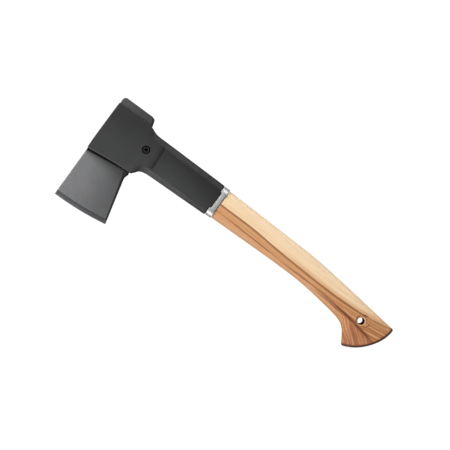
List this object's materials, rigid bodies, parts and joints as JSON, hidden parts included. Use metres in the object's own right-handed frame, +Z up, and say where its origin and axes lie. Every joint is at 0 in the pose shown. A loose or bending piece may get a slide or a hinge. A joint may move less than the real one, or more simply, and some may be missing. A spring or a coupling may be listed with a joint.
{
  "type": "hatchet",
  "caption": "One-hand hatchet with a coated steel head in a dark moulded shroud, a bright ring and a curved wooden handle with a hooked butt and a lanyard hole.",
  "frame": {"origin": "on the surface the hatchet lies on, under the middle of its outline's box", "axes": "+X along the handle from the head to the butt, +Y from the cutting edge toward the poll, +Z up through the thickness from the cheek it lies on"},
  "size_m": [0.4333, 0.1464, 0.029],
  "materials": {
    "coated_steel": "satin low-friction coating, bare ground edge",
    "dark_composite": "fine matt moulded grain",
    "satin_aluminium": "fine brushed satin",
    "cured_adhesive": "hidden, as cured",
    "oiled_hickory": "sanded and oiled, pale sapwood along the back and brown heartwood along the belly"
  },
  "bodies": {
    "root": {"steel_head": "coated_steel", "composite_shroud": "dark_composite", "ferrule_ring": "satin_aluminium", "adhesive_sleeve": "cured_adhesive", "hickory_handle": "oiled_hickory"}
  },
  "joints": []
}
